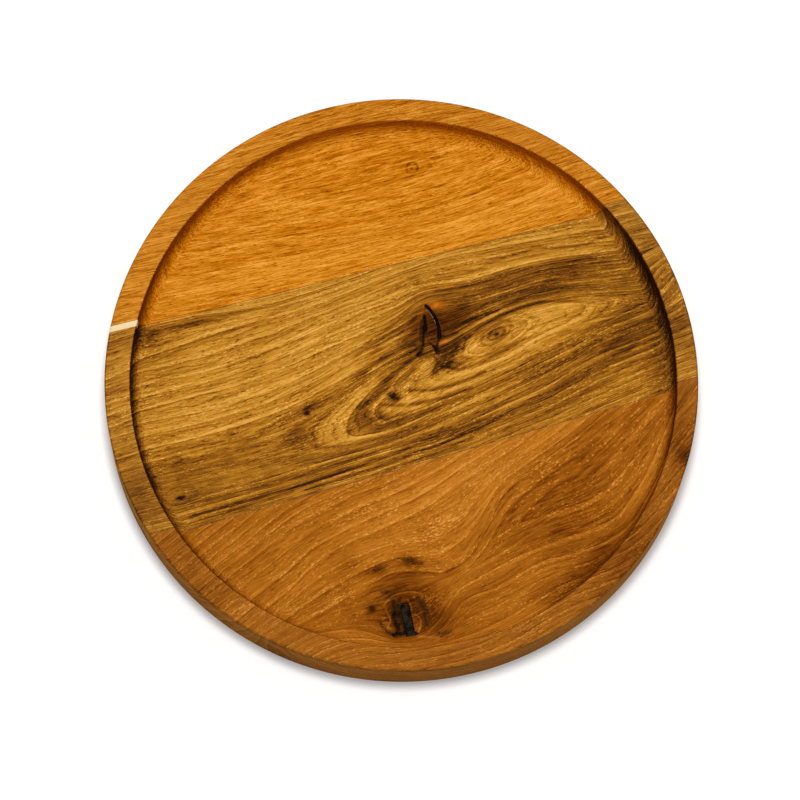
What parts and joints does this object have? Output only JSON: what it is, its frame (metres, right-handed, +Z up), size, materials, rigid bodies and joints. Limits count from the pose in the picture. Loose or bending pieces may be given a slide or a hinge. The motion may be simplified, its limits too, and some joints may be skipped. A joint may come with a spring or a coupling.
{
  "type": "serving board",
  "caption": "Round wooden serving board, edge-glued from hardwood staves, with a flat-topped rim around a recessed floor, a coved inner wall and dark resin filling its open knots.",
  "frame": {"origin": "centre of the round underside, on the surface that the board stands on", "axes": "+Z up, away from the underside; +X along the back glue joint and the grain, to the right; +Y across the staves, from the front stave to the back stave"},
  "size_m": [0.3, 0.3, 0.03],
  "materials": {
    "back_wood": "oiled, satin",
    "middle_wood": "oiled, satin",
    "front_wood": "oiled, satin",
    "glue": "matte",
    "knot_resin": "gloss"
  },
  "bodies": {
    "root": {"back_stave": "back_wood", "middle_stave": "middle_wood", "front_stave": "front_wood", "back_glue_line": "glue", "front_glue_line": "glue", "middle_knot_fill": "knot_resin", "front_knot_fill": "knot_resin"}
  },
  "joints": []
}
